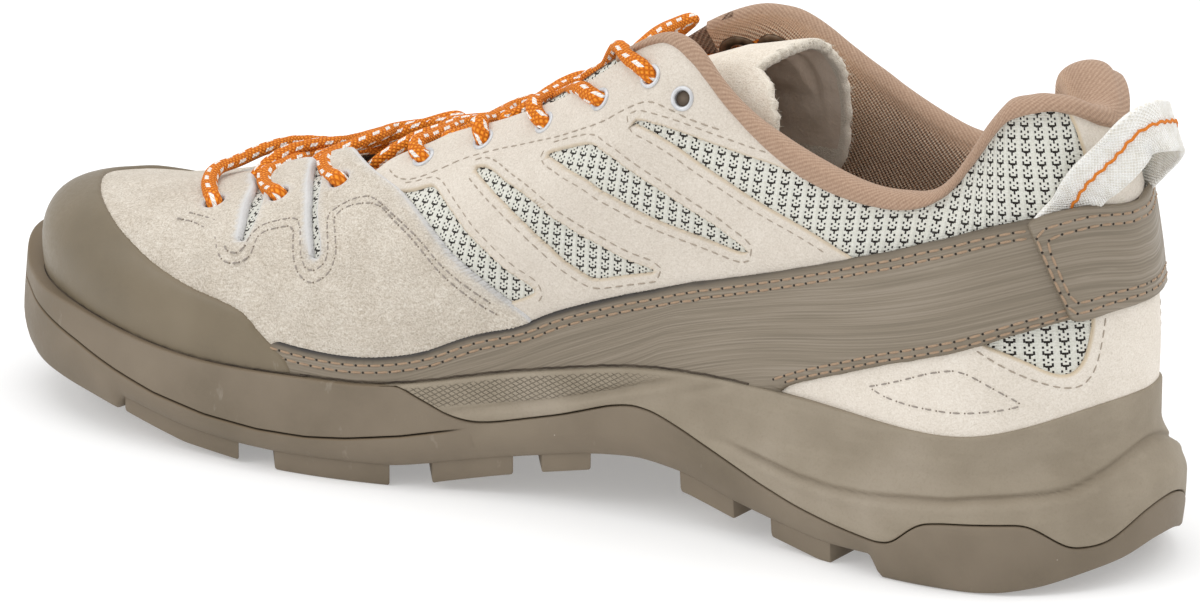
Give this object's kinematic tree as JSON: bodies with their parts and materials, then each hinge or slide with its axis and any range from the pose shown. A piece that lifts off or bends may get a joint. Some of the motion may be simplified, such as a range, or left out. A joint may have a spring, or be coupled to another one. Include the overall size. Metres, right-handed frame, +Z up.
{
  "type": "low-cut hiking sneaker",
  "caption": "Low-cut hiking sneaker for the right foot: suede and knit upper, rubber toe cap, side band, crossed cord lacing, heel pull loop, foam midsole and lugged rubber outsole.",
  "frame": {"origin": "on the floor under the middle of the shoe's bounding box", "axes": "+X from heel to toe, +Y to the medial (inner) side, +Z up"},
  "size_m": [0.3052, 0.1076, 0.1157],
  "materials": {
    "rubber": "matte moulded taupe rubber",
    "foam": "matte skinned taupe foam",
    "lining": "brown knit",
    "suede": "napped beige suede",
    "toe_rubber": "smooth satin taupe rubber",
    "band": "fine ridged taupe coating",
    "webbing": "white woven webbing",
    "cord": "braided orange cord with white tracer",
    "eyelet_metal": "satin"
  },
  "bodies": {
    "root": {"outsole": "rubber", "midsole": "foam", "insole": "lining", "upper": "suede", "toe_cap": "toe_rubber", "side_band": "band", "tongue": "suede", "pull_loop": "webbing", "laces": "cord", "eyelet_m1": "eyelet_metal", "eyelet_m2": "eyelet_metal", "eyelet_m3": "eyelet_metal", "eyelet_m4": "eyelet_metal", "eyelet_m5": "eyelet_metal", "eyelet_m6": "eyelet_metal", "eyelet_l1": "eyelet_metal", "eyelet_l2": "eyelet_metal", "eyelet_l3": "eyelet_metal", "eyelet_l4": "eyelet_metal", "eyelet_l5": "eyelet_metal", "eyelet_l6": "eyelet_metal"}
  },
  "joints": []
}
